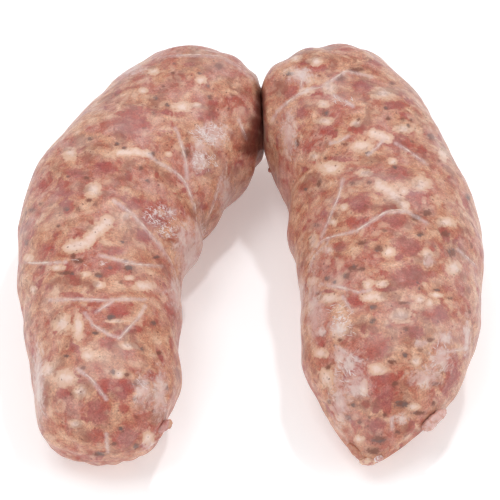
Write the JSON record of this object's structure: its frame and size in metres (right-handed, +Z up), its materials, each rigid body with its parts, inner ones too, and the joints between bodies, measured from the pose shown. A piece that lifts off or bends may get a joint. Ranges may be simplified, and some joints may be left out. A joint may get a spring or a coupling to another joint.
{
  "type": "string of sausage links",
  "caption": "Plump raw coarse-ground sausage links in one casing, lying folded side by side and pressed together at their far ends.",
  "frame": {"origin": "centre of the footprint, on the table the links lie on", "axes": "+Z up from the table; +Y from the cut casing ends to the crease where the links press together; +X across the links"},
  "size_m": [0.1138, 0.1224, 0.0402],
  "materials": {
    "sausage": "moist, thin casing over coarse mince"
  },
  "bodies": {
    "root": {"sausage_string": "sausage"}
  },
  "joints": []
}
